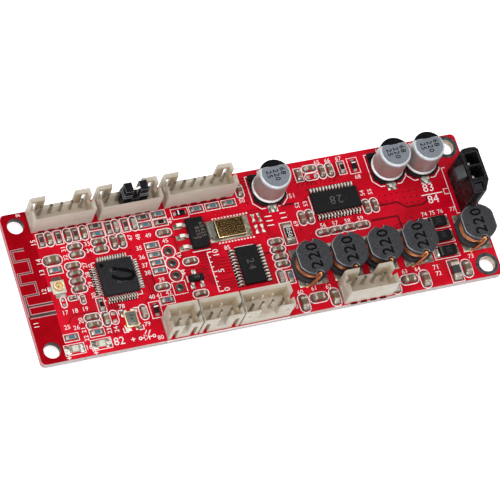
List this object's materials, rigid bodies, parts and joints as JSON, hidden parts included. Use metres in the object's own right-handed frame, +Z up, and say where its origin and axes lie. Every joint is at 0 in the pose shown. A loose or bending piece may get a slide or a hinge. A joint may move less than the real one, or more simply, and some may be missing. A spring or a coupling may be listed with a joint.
{
  "type": "audio amplifier board",
  "caption": "Long red circuit board of an audio amplifier with shrouded wire headers, coils, round capacitors, chips, a power connector and a pull-off jumper.",
  "frame": {"origin": "centre of the bare board's underside", "axes": "+X along the board towards the power connector, +Y towards the row of three headers at the back edge, +Z up out of the side that carries the parts"},
  "size_m": [0.0936, 0.0308, 0.0122],
  "materials": {
    "solder_mask": "satin red solder mask over copper",
    "laminate": "sawn glass-fibre edge",
    "silkscreen": "thin printed ink",
    "header_plastic": "moulded nylon",
    "black_plastic": "moulded, slightly glossy",
    "chip_moulding": "fine matt moulding",
    "ferrite": "pressed ferrite",
    "copper_wire": "enamelled copper",
    "can_metal": "drawn can with a printed top",
    "tinned_metal": "tinned",
    "brass": "speckled plating",
    "gold": "thin gold plating",
    "lamp_resin": "milky resin",
    "ceramic_brown": "fired ceramic",
    "resistor_black": "glazed ceramic"
  },
  "bodies": {
    "board": {"board": "solder_mask", "header_back_1": "header_plastic", "header_back_2": "header_plastic", "header_back_3": "header_plastic", "header_front_1": "header_plastic", "header_front_2": "header_plastic", "header_front_3": "header_plastic", "header_speaker": "header_plastic", "coil_core_1": "ferrite", "coil_core_2": "ferrite", "coil_core_3": "ferrite", "coil_core_4": "ferrite", "coil_core_5": "ferrite", "coil_winding_1": "copper_wire", "coil_winding_2": "copper_wire", "coil_winding_3": "copper_wire", "coil_winding_4": "copper_wire", "coil_winding_5": "copper_wire", "capacitor_base_1": "black_plastic", "capacitor_base_2": "black_plastic", "capacitor_base_3": "black_plastic", "capacitor_can_1": "can_metal", "capacitor_can_2": "can_metal", "capacitor_can_3": "can_metal", "quad_chip": "chip_moulding", "slim_chip_1": "chip_moulding", "slim_chip_2": "chip_moulding", "regulator": "chip_moulding", "heat_block": "brass", "transistor": "chip_moulding", "diode_1": "chip_moulding", "diode_2": "chip_moulding", "diode_3": "chip_moulding", "power_connector": "black_plastic", "crystal": "gold", "lamp_1": "lamp_resin", "lamp_2": "lamp_resin", "coax_socket": "gold", "shunt": "resistor_black", "suppressor": "resistor_black", "chip_capacitor_1": "ceramic_brown", "chip_capacitor_2": "ceramic_brown", "chip_capacitor_3": "ceramic_brown", "chip_capacitor_4": "ceramic_brown", "chip_capacitor_5": "ceramic_brown", "chip_capacitor_6": "ceramic_brown", "chip_capacitor_7": "ceramic_brown", "chip_capacitor_8": "ceramic_brown"},
    "jumper": {"jumper_cap": "black_plastic", "jumper_contact": "tinned_metal"}
  },
  "joints": [
    {"name": "jumper_pull", "type": "slide", "parent": "board", "child": "jumper", "axis": [0, 0, 1], "range_m": [0, 0.006]}
  ]
}
